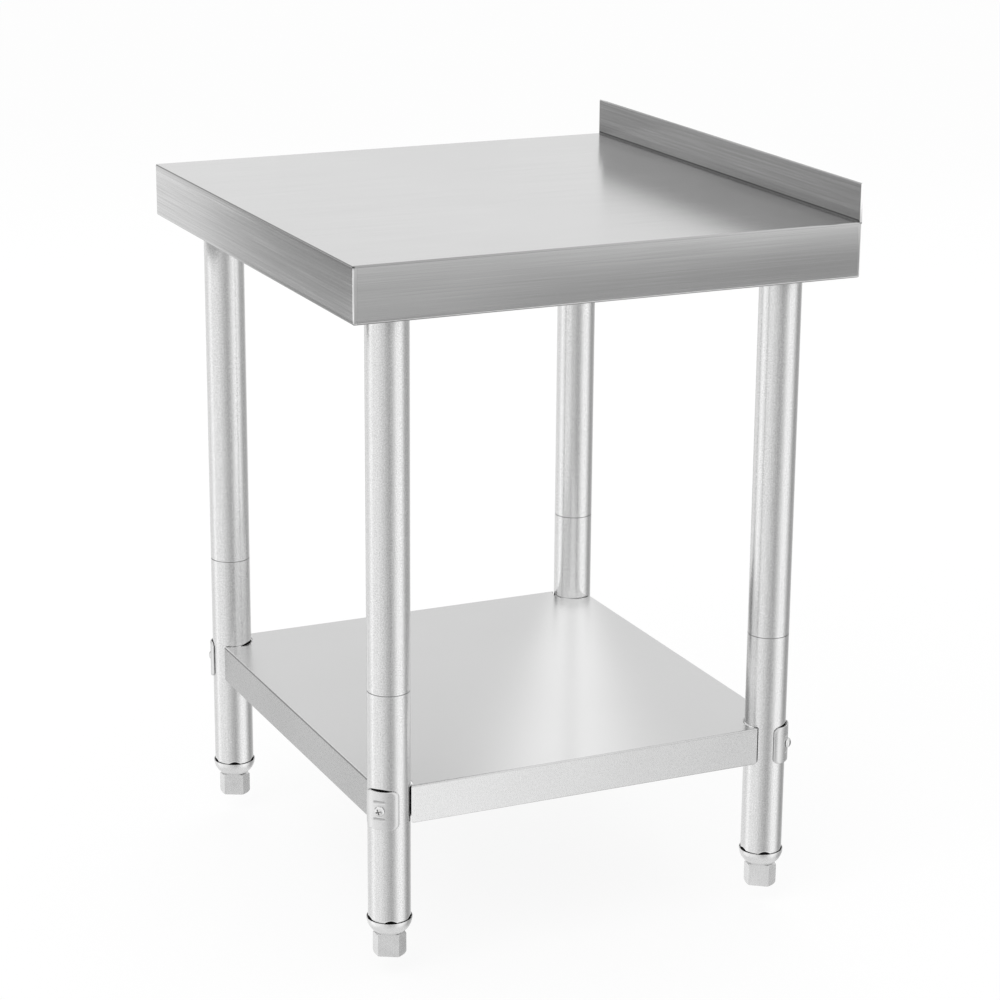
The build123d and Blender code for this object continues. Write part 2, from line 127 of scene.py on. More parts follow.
# %% Define the socket arithmetic
class Wire:
    """One output socket. Arithmetic on it adds the matching Math node."""

    def __init__(self, board, made, socket):
        self.board, self.made, self.socket = board, made, socket

    def __getitem__(self, output):
        return Wire(self.board, self.made, self.made.outputs[output])

    def math(self, operation, *values):
        return self.board.node("ShaderNodeMath", {"operation": operation}, dict(enumerate(values)))

    def __add__(self, other):
        return self.math("ADD", self, other)

    def __sub__(self, other):
        return self.math("SUBTRACT", self, other)

    def __rsub__(self, other):
        return self.math("SUBTRACT", other, self)

    def __mul__(self, other):
        return self.math("MULTIPLY", self, other)

    def __truediv__(self, other):
        return self.math("DIVIDE", self, other)

    def __gt__(self, other):
        return self.math("GREATER_THAN", self, other)

    def __lt__(self, other):
        return self.math("LESS_THAN", self, other)

    def __abs__(self):
        return self.math("ABSOLUTE", self)

    __radd__ = __add__
    __rmul__ = __mul__


class Board:
    """A node tree that starts empty. node() is the one way to add a node to it."""

    def __init__(self, tree):
        self.tree = tree
        tree.nodes.clear()

    def node(self, kind, settings=None, sockets=None, output=0):
        """Add a node: settings first, then the value or the wire of each socket."""
        made = self.tree.nodes.new(kind)
        for name, value in (settings or {}).items():
            if name == "stops":
                self.stops(made.color_ramp, value)
            else:
                setattr(made, name, value)
        for name, value in (sockets or {}).items():
            if isinstance(value, Wire):
                self.tree.links.new(value.socket, made.inputs[name])
            else:
                made.inputs[name].default_value = value
        return Wire(self, made, made.outputs[output] if made.outputs else None)

    @staticmethod
    def stops(ramp, values):
        """Fill a ramp from (place, grey) pairs, with smooth steps between them."""
        ramp.interpolation = "EASE"
        while len(ramp.elements) > 1:
            ramp.elements.remove(ramp.elements[-1])
        for index, (place, grey) in enumerate(values):
            element = ramp.elements[0] if index == 0 else ramp.elements.new(place)
            element.position = place
            element.color = (grey, grey, grey, 1.0)

    def ramp(self, factor, values):
        """Grey value looked up from (place, grey) pairs."""
        return self.node("ShaderNodeValToRGB", {"stops": values}, {0: factor})

    def smooth(self, value, low, high, start=0.0, end=1.0):
        """Smooth step of a value: start below low, end above high."""
        sockets = {0: value, 1: low, 2: high, 3: start, 4: end}
        return self.node("ShaderNodeMapRange", {"interpolation_type": "SMOOTHSTEP"}, sockets)

    def line(self, value, low, high, start=0.0, end=1.0):
        """Straight step of a value: start below low, end above high."""
        return self.node("ShaderNodeMapRange", {}, {0: value, 1: low, 2: high, 3: start, 4: end})

    def axes(self, vector):
        """The three coordinates of a vector as separate wires."""
        split = self.node("ShaderNodeSeparateXYZ", {}, {0: vector})
        return split["X"], split["Y"], split["Z"]

    def blend(self, factor, first, second):
        """Number between first and second."""
        return first + factor * (second - first)

    def tint(self, value, low, high):
        """Colour between two colours, from a number."""
        sockets = {0: value, 6: low, 7: high}
        return self.node("ShaderNodeMix", {"data_type": "RGBA"}, sockets, 2)

    def noise(self, vector, scale, detail=2.0, roughness=0.5):
        """Noise centred on zero, from about -1 to 1."""
        sockets = {"Vector": vector, "Scale": scale, "Detail": detail, "Roughness": roughness}
        return self.node("ShaderNodeTexNoise", {}, sockets) * 4 - 2

    def stretch(self, vector, x, y, z):
        """Vector with each axis multiplied by its own number."""
        sockets = {0: vector, 1: (x, y, z)}
        return self.node("ShaderNodeVectorMath", {"operation": "MULTIPLY"}, sockets)


def new_finish(name):
    """Empty material, and the board of its node tree."""
    material = bpy.data.materials.new(name)
    material.use_nodes = True
    return material, Board(material.node_tree)


print("shader helpers ready")


# %% [markdown]
# ## Studio light
#
# Bare steel has no colour of its own: it shows what stands round it. A real studio gives it
# panels and gaps, so the world here is a soft pattern of light by direction, not a picture. It
# is two rings of brightness round the horizon: what the metal sees when it looks down, and what
# it sees when it looks up. They blend into each other at the horizon, and into an even light
# above and below. Seen directly, the world is plain white.

# %% Light the world
PEAK = 2.0


def ring(*pairs):
    """Ramp stops from (compass angle, brightness) pairs, with 0 at +X and 90 at +Y."""
    return [((angle + 180) / 360, level / PEAK) for angle, level in pairs]


LOOKING_DOWN = ring((-180, 0.88), (-160, 0.88), (-145, 0.86), (-133, 0.95), (-117, 1.22), (-101, 1.0),
                    (-66, 0.94), (-41, 0.75), (-27, 0.60), (-10, 0.49), (5, 0.65), (17, 0.9), (29, 1.12),
                    (51, 1.12), (63, 0.88), (73, 0.62), (83, 0.45), (94, 0.39), (107, 0.47), (122, 0.56),
                    (142, 0.84), (180, 0.88))
LOOKING_UP = ring((-180, 0.8), (-172, 0.38), (-158, 0.38), (-151, 0.33), (-145, 0.2), (-140, 0.2),
                  (-133, 0.8), (-123, 0.92), (-75, 0.9), (-50, 0.84), (-18, 0.82), (0, 0.85),
                  (18, 0.95), (45, 0.95), (60, 0.88), (80, 0.7), (120, 0.7), (140, 0.76),
                  (165, 0.78), (180, 0.8))
ZENITH, NADIR = 1.0, 0.8
LOW_ANGLES, LEVEL_ANGLES, HIGH_ANGLES = (-50, -35), (-5, 4), (28, 45)


def studio_world():
    """World whose brightness depends on the compass angle and the height angle of a ray."""
    world = bpy.data.worlds.new("studio")
    world.use_nodes = True
    bpy.context.scene.world = world
    board = Board(world.node_tree)
    toward = board.node("ShaderNodeTexCoord")["Generated"]
    x, y, z = board.axes(toward)
    compass = y.math("ARCTAN2", y, x) / math.tau + 0.5
    height = z.math("ARCSINE", z) * (180 / math.pi)
    down, up = (board.ramp(compass, stops) * PEAK for stops in (LOOKING_DOWN, LOOKING_UP))
    light = board.blend(board.smooth(height, *LOW_ANGLES), NADIR, down)
    light = board.blend(board.smooth(height, *LEVEL_ANGLES), light, up)
    light = board.blend(board.smooth(height, *HIGH_ANGLES), light, ZENITH)
    seen = board.node("ShaderNodeLightPath")["Is Camera Ray"]
    light = board.blend(seen, light, 1.0)
    background = board.node("ShaderNodeBackground", {}, {"Color": (1, 1, 1, 1), "Strength": light})
    board.node("ShaderNodeOutputWorld", {}, {"Surface": background})
    return world


studio_world()
bpy.context.scene.view_settings.view_transform = "Standard"
print("world rings:", len(LOOKING_DOWN), "and", len(LOOKING_UP), "stops")


# %% [markdown]
# ## Floor and lamps
#
# The floor is one large pale sheet. It lies at the level that the feet reach when they are
# screwed right out, because the frame stays where it is in every pose and the feet travel down.
# It glows a little, as a lit paper sweep does, which keeps the shadow under the table soft.
# Reflections skip it, because the world's lower ring already says what the steel sees below. Two
# large soft lamps give the floor its shadow. From below the sheet is clear, so the underside of
# the table can be looked at.

# %% Lay the floor and hang the lamps
GLOW_SHARE = 0.88
FLOOR_SIZE = 60.0
FOOT_TRAVEL, FLOOR_GAP = 25 * MM, 0.5 * MM
LAMP_AIM = np.array([0.0, 0.0, 0.4])


def sheet(name, points, material):
    """Flat object with one face through four points."""
    mesh = bpy.data.meshes.new(name)
    mesh.from_pydata([[float(value) for value in point] for point in points], [], [(0, 1, 2, 3)])
    mesh.materials.append(material)
    made = bpy.data.objects.new(name, mesh)
    bpy.context.scene.collection.objects.link(made)
    return made


def level_corners(low, high, height):
    """The four corners of a level rectangle, so that its face looks up."""
    return [(low[0], low[1], height), (high[0], low[1], height), (high[0], high[1], height),
            (low[0], high[1], height)]


def floor_finish():
    """Pale matt paper: part glow, part diffuse, with faint cloudiness, clear from below."""
    paper, board = new_finish("paper_floor")
    place = board.node("ShaderNodeTexCoord")["Object"]
    cloud = board.noise(place, 1.3, 3.0)
    tone = board.tint(0.5 + cloud * 0.05, (0.985, 0.985, 0.985, 1), (1.0, 1.0, 1.0, 1))
    matt = board.node("ShaderNodeBsdfDiffuse", {}, {"Color": tone})
    glow = board.node("ShaderNodeEmission", {}, {"Color": tone, "Strength": 1.0})
    lit = board.node("ShaderNodeMixShader", {}, {0: GLOW_SHARE, 1: matt, 2: glow})
    clear = board.node("ShaderNodeBsdfTransparent")
    behind = board.node("ShaderNodeNewGeometry")["Backfacing"]
    shader = board.node("ShaderNodeMixShader", {}, {0: behind, 1: lit, 2: clear})
    board.node("ShaderNodeOutputMaterial", {}, {"Surface": shader})
    return paper


def floor(size, level):
    """Square level sheet, left out of reflections."""
    half = size / 2
    made = sheet("floor", level_corners((-half, -half), (half, half), level), floor_finish())
    made.visible_glossy = False
    return made


def lamp(name, place, size, power):
    """Square soft lamp that points at LAMP_AIM. The steel doesn't mirror it."""
    data = bpy.data.lights.new(name, "AREA")
    data.size, data.energy = size, power
    made = bpy.data.objects.new(name, data)
    bpy.context.scene.collection.objects.link(made)
    away = np.array(place) - LAMP_AIM
    away = away / np.linalg.norm(away)
    side = np.cross([0.0, 0.0, 1.0], away)
    side = side / np.linalg.norm(side)
    turn = np.eye(4)
    turn[:3, :3] = np.column_stack([side, np.cross(away, side), away])
    turn[:3, 3] = place
    made.matrix_world = Matrix(turn.tolist())
    made.visible_glossy = False
    return made


floor(FLOOR_SIZE, -FOOT_TRAVEL - FLOOR_GAP)
lamp("key_lamp", (1.6, -2.4, 3.2), size=2.6, power=40.0)
lamp("fill_lamp", (-2.6, 1.2, 3.0), size=3.0, power=25.0)
print("floor laid, lamps hung")


# %% [markdown]
# ## Cards
#
# Flat steel mirrors only a small patch of the studio, so four cards stand close to the worktop's
# edges. The front card fades from light to dark along X and gives the front edge its long
# gradient. The side card fades from light to dark downwards, which makes the side edge look
# slightly rolled. The small far card keeps the left end of the upstand as dark as the rest of
# it, and the rear card lets the upstand's reflection in the worktop fade out softly. A veil lies
# level just above the shelf. It glows only downwards, so that the shelf alone mirrors it, and its
# wedge of light spreads a soft fan over the shelf, away from the rear left leg. Only reflections
# see the cards and the veil.

# %% Set up the cards
CARD_GAP, FAR_CARD_GAP = 100 * MM, 280 * MM
FAR_CARD_WIDTH = 340 * MM
REAR_CARD_GAP, REAR_CARD_RISE = 3 * MM, 38 * MM
VEIL_RISE, VEIL_LENGTH, VEIL_MARGIN = 15 * MM, 700 * MM, 250 * MM
FAN_WAY, MIRROR_ANGLE = -26.2, 18.5


def hang(name, points, material):
    """Stage sheet that only reflections see."""
    made = sheet(name, points, material)
    made.visible_camera = made.visible_diffuse = made.visible_shadow = False
    made.visible_transmission = made.visible_volume_scatter = False
    return made


def card(name, low, high, brightness):
    """Glowing upright sheet between two corners. brightness(board, x, y, z) gives its light."""
    low, high = np.array(low), np.array(high)
    span = high - low
    along = np.where(np.arange(3) == np.argmax(span[:2]), span, 0.0)
    rise = np.array([0.0, 0.0, span[2]])
    glow, board = new_finish(name)
    place = board.node("ShaderNodeTexCoord")["Object"]
    light = brightness(board, *board.axes(place))
    shader = board.node("ShaderNodeEmission", {}, {"Color": (1, 1, 1, 1), "Strength": light})
    board.node("ShaderNodeOutputMaterial", {}, {"Surface": shader})
    return hang(name, [low, low + along, low + along + rise, low + rise], glow)


def front_light(board, x, y, z):
    """Bright at the left, dark at the right, with the top of the dark half a little darker."""
    fade = board.ramp(board.line(x, -740 * MM, 260 * MM), [(0.0, 0.39), (0.12, 0.36), (0.27, 0.33),
                                                           (0.44, 0.225), (0.6, 0.18), (0.8, 0.155),
                                                           (1.0, 0.14)])
    top = board.smooth(z, WORKTOP - 72 * MM, WORKTOP - 62 * MM) * board.smooth(x, -400 * MM, -100 * MM)
    return fade * PEAK * (1 - top * 0.3)


def side_light(board, x, y, z):
    """Light above and dark below, the more so towards the rear."""
    level = board.line(z, WORKTOP - 100 * MM, WORKTOP)
    near = board.ramp(level, [(0.0, 0.135), (0.17, 0.16), (0.5, 0.21), (0.73, 0.245), (0.85, 0.3),
                              (1.0, 0.45)])
    rear = board.ramp(level, [(0.0, 0.12), (0.17, 0.145), (0.36, 0.155), (0.6, 0.225), (0.73, 0.28),
                              (0.85, 0.36), (1.0, 0.5)])
    return board.blend(board.smooth(y, TOP_LOW[1] * 0.6, TOP_HIGH[1]), near, rear) * PEAK


def far_light(board, x, y, z):
    """Nearly even dark grey."""
    return board.line(z, WORKTOP - 110 * MM, WORKTOP, 0.12, 0.15) * PEAK


def rear_light(board, x, y, z):
    """Dark at the upstand's top edge, as bright as the studio a little higher."""
    return board.smooth(z, TOP_HIGH[2] + 11 * MM, TOP_HIGH[2] + REAR_CARD_RISE, 0.11, 0.38) * PEAK


def veil(name, apex, toward, height, length):
    """Level sheet that glows downwards in a wedge from apex along the compass angle toward.

    At distance d along the wedge it covers what is above it by a bell curve 20 mm + 0.1 d wide. Its
    glow weakens with d and dips by another bell curve, 12 mm wide, along the middle.
    """
    step = np.array([math.cos(math.radians(toward)), math.sin(math.radians(toward))])
    low, high = np.sort(np.array([apex, apex + step * length]), axis=0)
    points = level_corners(low - VEIL_MARGIN, high + VEIL_MARGIN, height)
    material, board = new_finish(name)
    x, y, _ = board.axes(board.node("ShaderNodeTexCoord")["Object"])
    along = (x - apex[0]) * step[0] + (y - apex[1]) * step[1]
    aside = (y - apex[1]) * step[0] - (x - apex[0]) * step[1]
    broad, narrow = aside / (along * 0.1 + 20 * MM), aside / (12 * MM)
    wedge = broad.math("EXPONENT", broad * broad * -1) * board.smooth(along, -20 * MM, 10 * MM)
    wedge = wedge * board.smooth(along, length + 0.1, length)
    dip = narrow.math("EXPONENT", narrow * narrow * -1) * board.line(along, 0.1, 0.4, 0.22, 0.09)
    light = board.line(along, 0.1, 0.4, 1.24, 1.1) * (1 - dip)
    below = board.node("ShaderNodeNewGeometry")["Backfacing"]
    clear = board.node("ShaderNodeBsdfTransparent")
    glow = board.node("ShaderNodeEmission", {}, {"Color": (1, 1, 1, 1), "Strength": light})
    shader = board.node("ShaderNodeMixShader", {}, {0: wedge * below * 0.8, 1: clear, 2: glow})
    board.node("ShaderNodeOutputMaterial", {}, {"Surface": shader})
    return hang(name, points, material)


card("front_card", (TOP_LOW[0] * 2.5, TOP_LOW[1] - CARD_GAP, WORKTOP - 135 * MM),
     (TOP_HIGH[0] * 0.5, TOP_LOW[1] - CARD_GAP, WORKTOP - 40 * MM), front_light)
card("side_card", (TOP_HIGH[0] + CARD_GAP, TOP_LOW[1] * 1.1, WORKTOP - 98 * MM),
     (TOP_HIGH[0] + CARD_GAP, TOP_HIGH[1] * 1.4, WORKTOP + 25 * MM), side_light)
card("far_card", (TOP_LOW[0] - FAR_CARD_GAP, TOP_HIGH[1] - FAR_CARD_WIDTH, WORKTOP - 110 * MM),
     (TOP_LOW[0] - FAR_CARD_GAP, TOP_HIGH[1], WORKTOP + 22 * MM), far_light)
card("rear_card", (TOP_LOW[0], TOP_HIGH[1] + REAR_CARD_GAP, TOP_HIGH[2] - 2 * MM),
     (TOP_HIGH[0], TOP_HIGH[1] + REAR_CARD_GAP, TOP_HIGH[2] + REAR_CARD_RISE), rear_light)
shift = VEIL_RISE / math.tan(math.radians(MIRROR_ANGLE))
behind = np.array([math.cos(math.radians(FAN_WAY)), math.sin(math.radians(FAN_WAY))]) * -shift
veil("fan_veil", LEG["rear_left"] + behind, FAN_WAY, SHELF_HIGH[2] + VEIL_RISE, VEIL_LENGTH)
print("cards set", round(CARD_GAP / MM), "mm from the worktop's edges")


# %% [markdown]
# ## What every metal shares
#
# Each finish is a metallic Principled shader. Three things change over its surface: how light
# its grey is, how rough it is and how high its grain stands. Narrow gaps get painted shade: the
# grey goes towards black where an Ambient Occlusion node finds a neighbour close by. The sharp
# edges of a solid are softened by a Bevel node so that they catch light as real, slightly broken
# edges do.

# %% Define the metal shader
BLACK = 0.015
# Share of open sky over which the painted crevice shade fades from black to bare metal.
CREVICE_SHADE = (0.1, 0.55)


def metal(name, surface, dark, light, relief=0.0, edge=0.0, gap_shade=0.0):
    """Metal whose surface(board, place) gives tone from 0 to 1, roughness and height from -1 to 1.

    A tone of 0 gives dark and 1 gives light. A tone well below 0 draws a black line. relief is the
    height of 1 in metres, edge the radius of softened edges and gap_shade how near a neighbour must
    be to paint shade into a crevice, both in metres. CREVICE_SHADE is the share of open sky over
    which that painted shade goes from black to bare metal.
    """
    material, board = new_finish(name)
    place = board.node("ShaderNodeTexCoord")["Object"]
    tone, roughness, height = surface(board, place)
    level = tone * (light - dark) + dark
    level = level.math("MINIMUM", level.math("MAXIMUM", level, BLACK), 1.0)
    # Painted shade: a neighbour found close by with the AO node turns the base colour towards black.
    if gap_shade:
        open_sky = board.node("ShaderNodeAmbientOcclusion", {"samples": 8}, {"Distance": gap_shade})["AO"]
        level = board.blend(board.smooth(open_sky, *CREVICE_SHADE), BLACK, level)
    sockets = {"Base Color": level, "Roughness": roughness, "Metallic": 1.0}
    bump = {}
    if edge:
        bump["Normal"] = board.node("ShaderNodeBevel", {"samples": 4}, {"Radius": edge})
    if relief:
        bump.update({"Distance": relief, "Height": height, "Strength": 1.0})
        sockets["Normal"] = board.node("ShaderNodeBump", {}, bump)
    elif edge:
        sockets["Normal"] = bump["Normal"]
    shader = board.node("ShaderNodeBsdfPrincipled", {}, sockets)
    board.node("ShaderNodeOutputMaterial", {}, {"Surface": shader})
    return material


def long_grain(board, place, axis):
    """Belt grain along one axis: fine short scratches over broader long ones."""
    fine = streaks(board, place, 1.1 * MM, 130 * MM, axis, 1.0)
    broad = streaks(board, place, 2.3 * MM, 350 * MM, axis, 1.0)
    return fine * 0.6 + broad * 0.4


def streaks(board, place, across, along, axis, detail=3.0):
    """Brushed grain: noise squeezed to `across` metres and drawn out to `along` metres on one axis."""
    scale = [1 / across] * 3
    scale[axis] = 1 / along
    return board.noise(board.stretch(place, *scale), 1.0, detail, 0.6)


print("metal shader ready")


# %% [markdown]
# ## Worktop
#
# The sheet is brushed with a belt. On the flat top the grain runs front to back, and on each
# turned-down edge and on the upstand it follows the edge. The corners were welded and ground, so
# a narrow upright band there has its grain standing up, a little brighter and with a thin darker
# line beside it. One material does all of it, because the places of those zones are known from
# the sheet's own box. It also paints light and shade: painted shade on the foot of the upstand,
# thin painted shade lines along the folds, the lower edges and the front's right corner, painted
# highlights along the top and the ends of the upstand, and a painted sheen on the lower front of
# the sides.

# %% Finish the worktop
WELD_BAND = 4.6 * MM
UPSTAND_FACE = TOP_HIGH[1] - 2.9 * MM
SKIN = 1.0 * MM
BEND = 1.9 * MM
APRON_FOOT = TOP_LOW[2]


def worktop_surface(board, place):
    """Grain by zone: along Y on top and sides, along X on front, rear and upstand, upright at welds.

    The zones come from the distance to the sheet's outer faces (SKIN) and bends (BEND). shade and
    foot are painted shade at the foot of the upstand, fold and rim painted shade lines at the upper
    edge, bottom and lower_fold at the lower one, and corner at the front's right corner. hem and end
    are painted highlights on the upstand's edges, and glow a painted sheen on the lower front of the
    sides.
    """
    x, y, z = board.axes(place)
    side = abs(x) > TOP_HIGH[0] - SKIN
    front = (y < TOP_LOW[1] + SKIN) + (y > UPSTAND_FACE)
    edge = z < WORKTOP - BEND
    from_corner = TOP_HIGH[1] - abs(y)
    weld = side * edge * (from_corner < WELD_BAND)
    lengthwise = long_grain(board, place, 1)
    sideways = long_grain(board, place, 0)
    upright = streaks(board, place, 1.2 * MM, 40 * MM, 2)
    grain = board.blend(weld, board.blend(front, lengthwise, sideways), upright)
    cloud = board.noise(place, 7.0, 2.0)
    upstand = z > WORKTOP + BEND
    strength = 0.13 + edge * front * 0.36 + edge * side * 0.07 + upstand * 0.32
    inner = y < TOP_HIGH[1] - SKIN
    # Painted shade on the lowest 20 mm of the upstand.
    shade = board.smooth(z, WORKTOP + 20 * MM, WORKTOP + 3 * MM) * upstand * inner
    tone = 0.60 + grain * strength + cloud * 0.05
    seam = 1 - board.smooth(abs(from_corner - WELD_BAND), 0.2 * MM, 0.7 * MM)
    # Painted shade line on the front's rounded right corner.
    corner = board.smooth(x, TOP_HIGH[0] - 4 * MM, TOP_HIGH[0] - 1.5 * MM) * edge
    # Painted shade line in the inner fold at the foot of the upstand.
    foot = board.smooth(y, UPSTAND_FACE - 2.6 * MM, UPSTAND_FACE - 1.6 * MM)
    foot = foot * board.smooth(z, WORKTOP + 2.9 * MM, WORKTOP + 2.1 * MM) * (1 - side) * inner
    # Painted shade line along the front's upper fold, a little stronger towards the right.
    fold = board.smooth(z, WORKTOP - 5.2 * MM, WORKTOP - 1.5 * MM) * (z < WORKTOP - 0.5 * MM)
    fold = fold * (y < TOP_LOW[1] + 2.2 * MM) * board.smooth(x, TOP_LOW[0], 0.0, 0.8, 1.0)
    # Painted shade above the lower edges, then a painted shade line in the lower fold.
    bottom = board.smooth(z, APRON_FOOT + 6.5 * MM, APRON_FOOT + 2.0 * MM)
    bottom = bottom * board.blend(side, board.smooth(x, -150 * MM, 150 * MM),
                                  board.smooth(y, 0.0, -250 * MM, 0.0, 0.6))
    lower_fold = board.smooth(z, APRON_FOOT + 2.0 * MM, APRON_FOOT + 1.0 * MM)
    # Painted sheen on the lower front of the sides.
    glow = board.smooth(z, WORKTOP - 20 * MM, WORKTOP - 50 * MM) * side
    glow = glow * board.smooth(y, 0.0, -240 * MM)
    # Painted highlights on the upstand's top edge and on its ends.
    hem = board.smooth(z, TOP_HIGH[2] - 1.4 * MM, TOP_HIGH[2] - 0.8 * MM)
    end = side * (z > WORKTOP)
    # Painted shade line along the side's upper fold.
    rim = (x > TOP_HIGH[0] - 2.2 * MM) * board.smooth(z, WORKTOP - 2.4 * MM, WORKTOP - 1.9 * MM)
    rim = rim * (z < WORKTOP + 0.1 * MM) * board.line(y, TOP_LOW[1], TOP_HIGH[1], 1.5, 0.9)
    tone = tone - side * edge * seam * 0.25 + weld * 0.2 - corner * 0.5 * (y < TOP_LOW[1] + SKIN)
    tone = tone - foot * 1.9 - shade * 0.48 - fold * 0.9 - rim - bottom * 1.0 - lower_fold * 1.6
    tone = tone + hem * 0.5 + end * 0.7 + glow * 0.4
    roughness = 0.16 + abs(grain) * 0.04 + cloud * 0.012 + edge * 0.025
    return tone, roughness, grain


worktop_steel = metal("brushed_worktop_steel", worktop_surface, 0.66, 0.98, relief=0.01 * MM)
print("worktop finish:", len(worktop_steel.node_tree.nodes), "nodes")


# %% [markdown]
# ## Legs
#
# The legs are satin tube. A fine bead-like speckle covers them, with very faint lines from the
# drawing of the tube along its length. Speckle and lines both change roughness and height, so
# they break up the long reflections without hiding them. Black painted shadows stand on the tube
# just above each collar, each clamp plate and the shelf's front left corner, with a painted
# highlight just above the collar's shadows.

# %% Finish the legs
COLLAR_TOP = min(box("foot_insert_front_left")[1][2], box("lower_leg_front_left")[0][2] + 3.0 * MM)
# CRESCENT, CRESCENTS and CRESCENT_TURN shape the painted shadow crescents above each collar; PLATE_SIDE and
# SHELF_SIDE are where the painted shadows over the clamp plate and the shelf begin.
CRESCENT = 2.4 * MM
CRESCENTS, CRESCENT_TURN = 5, 19.0
PLATE_SIDE, SHELF_SIDE = 0.86 * LEG_RADIUS, -0.8 * LEG_RADIUS
PLATE_TOP = box("clamp_plate_front_left")[1][2]
PLATE_LEVEL = middle("clamp_plate_front_left")[2]


def from_leg(x, y):
    """Offsets in X and Y from the nearest leg's axis, and the offset along its outward diagonal."""
    side_x, side_y = x.math("SIGN", x), y.math("SIGN", y)
    across, back = x - side_x * LEG["front_right"][0], y - side_y * LEG["rear_right"][1]
    return across, back, (across * side_x + back * side_y) / math.sqrt(2)


def leg_surface(board, place):
    """Speckle with faint drawing lines, and painted black shadows above each collar and clamp plate.

    Above a collar the painted shadow makes five crescents. Their height above its rim follows the
    cosine of five times the compass angle, and a painted highlight runs just above them. A plate
    gets one painted shadow, on the outward diagonal, and the shelf one, on the inward diagonal of
    the front left leg.
    """
    x, y, z = board.axes(place)
    speckle = board.noise(place, 1 / (1.2 * MM), 2.0, 0.6)
    drawn = streaks(board, place, 1.4 * MM, 30 * MM, 2, 2.0)
    tone = 0.55 + speckle * 0.46 + drawn * 0.1
    across, back, outward = from_leg(x, y)
    compass = back.math("ARCTAN2", back, across)
    turn = (compass + math.radians(CRESCENT_TURN)) * CRESCENTS
    # Painted black shadow crescents just above the collar's rim, with a painted highlight band above them.
    lift = z - COLLAR_TOP - (turn.math("COSINE", turn) * 1.2 + 0.1) * CRESCENT
    gap_shade = board.smooth(lift, -0.2 * MM, 0.15 * MM, 1.0, 0.0)
    painted_shine = board.smooth(lift, 1.3 * MM, 0.9 * MM) - gap_shade
    low = (z > COLLAR_TOP - 4 * MM) * (z < COLLAR_TOP + 9 * MM)
    # Painted black shadow over the top edge of the clamp plate.
    rise = z - PLATE_TOP - (outward - PLATE_SIDE) / LEG_RADIUS * (14 * MM)
    over_plate = (outward > PLATE_SIDE) * (z > PLATE_TOP - 1 * MM)
    gap_shade = gap_shade * low + board.smooth(rise, -0.2 * MM, 0.2 * MM, 1.0, 0.0) * over_plate
    # Painted black shadow over the shelf's corner on the front left leg.
    rise = z - SHELF_HIGH[2] + (outward - SHELF_SIDE) / LEG_RADIUS * (13 * MM)
    over_shelf = board.smooth(rise, -0.2 * MM, 0.2 * MM, 1.0, 0.0) * (x < 0) * (y < 0)
    gap_shade = gap_shade + over_shelf * (z > SHELF_HIGH[2] - 1 * MM) * (outward < SHELF_SIDE)
    tone = tone - gap_shade * 6.0 + painted_shine * low * 0.8
    roughness = 0.2 + speckle * 0.03 + drawn * 0.01 + gap_shade * 0.6
    return tone, roughness, speckle * 0.8 + drawn * 0.2


leg_steel = metal("satin_leg_tube", leg_surface, 0.60, 0.90, relief=0.02 * MM, gap_shade=1.3 * MM)
print("leg finish:", len(leg_steel.node_tree.nodes), "nodes")


# %% [markdown]
# ## Shelf
#
# The shelf has the smooth satin of the mill and shows the legs as soft upright fans that spread
# towards the viewer. The turned-down edges were handled more and look speckled. They also carry
# painted shade, darkest on the right and at the rear, and the front fold has a painted shade line
# under a painted highlight on its crest, the right fold a painted shade line.

# %% Finish the shelf
def shelf_surface(board, place):
    """Smooth satin top, and matt speckled edges below it with painted shade and painted fold lines."""
    x, y, z = board.axes(place)
    flange = z < SHELF_HIGH[2] - 1.4 * MM
    speckle = board.noise(place, 1 / (1.3 * MM), 2.0, 0.6)
    cloud = board.noise(place, 5.0, 2.0)
    side = x > SHELF_HIGH[0] - 1.4 * MM
    tone = 0.70 + speckle * board.blend(flange, 0.03, 0.30) + cloud * board.blend(flange, 0.03, 0.1)
    # Painted shade on the turned-down edges: darkest on the right side and at the rear, none at the front.
    tone = tone - flange * board.blend(side, 0.80, board.line(y, SHELF_LOW[1], SHELF_HIGH[1], -0.1, 0.7))
    # Painted shade line under the front fold's crest, a painted highlight on the crest, and a painted shade
    # line on the right fold.
    fold = board.smooth(z, SHELF_HIGH[2] - 2.1 * MM, SHELF_HIGH[2] - 1.6 * MM)
    crest = board.smooth(z, SHELF_HIGH[2] - 0.8 * MM, SHELF_HIGH[2] - 0.5 * MM)
    front_fold = (y < SHELF_LOW[1] + 1.9 * MM) * fold
    tone = tone - front_fold * board.blend(crest, 1.1, -1.0) - (x > SHELF_HIGH[0] - 1.9 * MM) * fold * 0.4
    roughness = board.blend(flange, 0.25, 0.27) + speckle * board.blend(flange, 0.004, 0.04) + cloud * 0.01
    return tone, roughness, speckle * board.blend(flange, 0.15, 1.0)


shelf_steel = metal("satin_shelf_steel", shelf_surface, 0.56, 0.90, relief=0.012 * MM, gap_shade=2.0 * MM)
print("shelf finish:", len(shelf_steel.node_tree.nodes), "nodes")


# %% [markdown]
# ## Small parts
#
# The hardware has three looks. Pressed clamps and turned feet are matt with a coarse speckle,
# screws and nuts are bright, and the sockets under the worktop are rough castings. Channels keep
# the plain finish of the mill, with lines along their length. One speckled surface with
# different numbers covers most of them.

# %% Finish the small parts
def speckled(size, strength, roughness, spread):
    """Surface with speckles of one size in metres, and how far they change tone and roughness."""
    def surface(board, place):
        speckle = board.noise(place, 1 / size, 3.0, 0.6)
        cloud = board.noise(place, 60.0, 2.0)
        tone = 0.6 + speckle * strength + cloud * strength * 0.5
        return tone, roughness + speckle * spread + cloud * spread * 0.5, speckle
    return surface


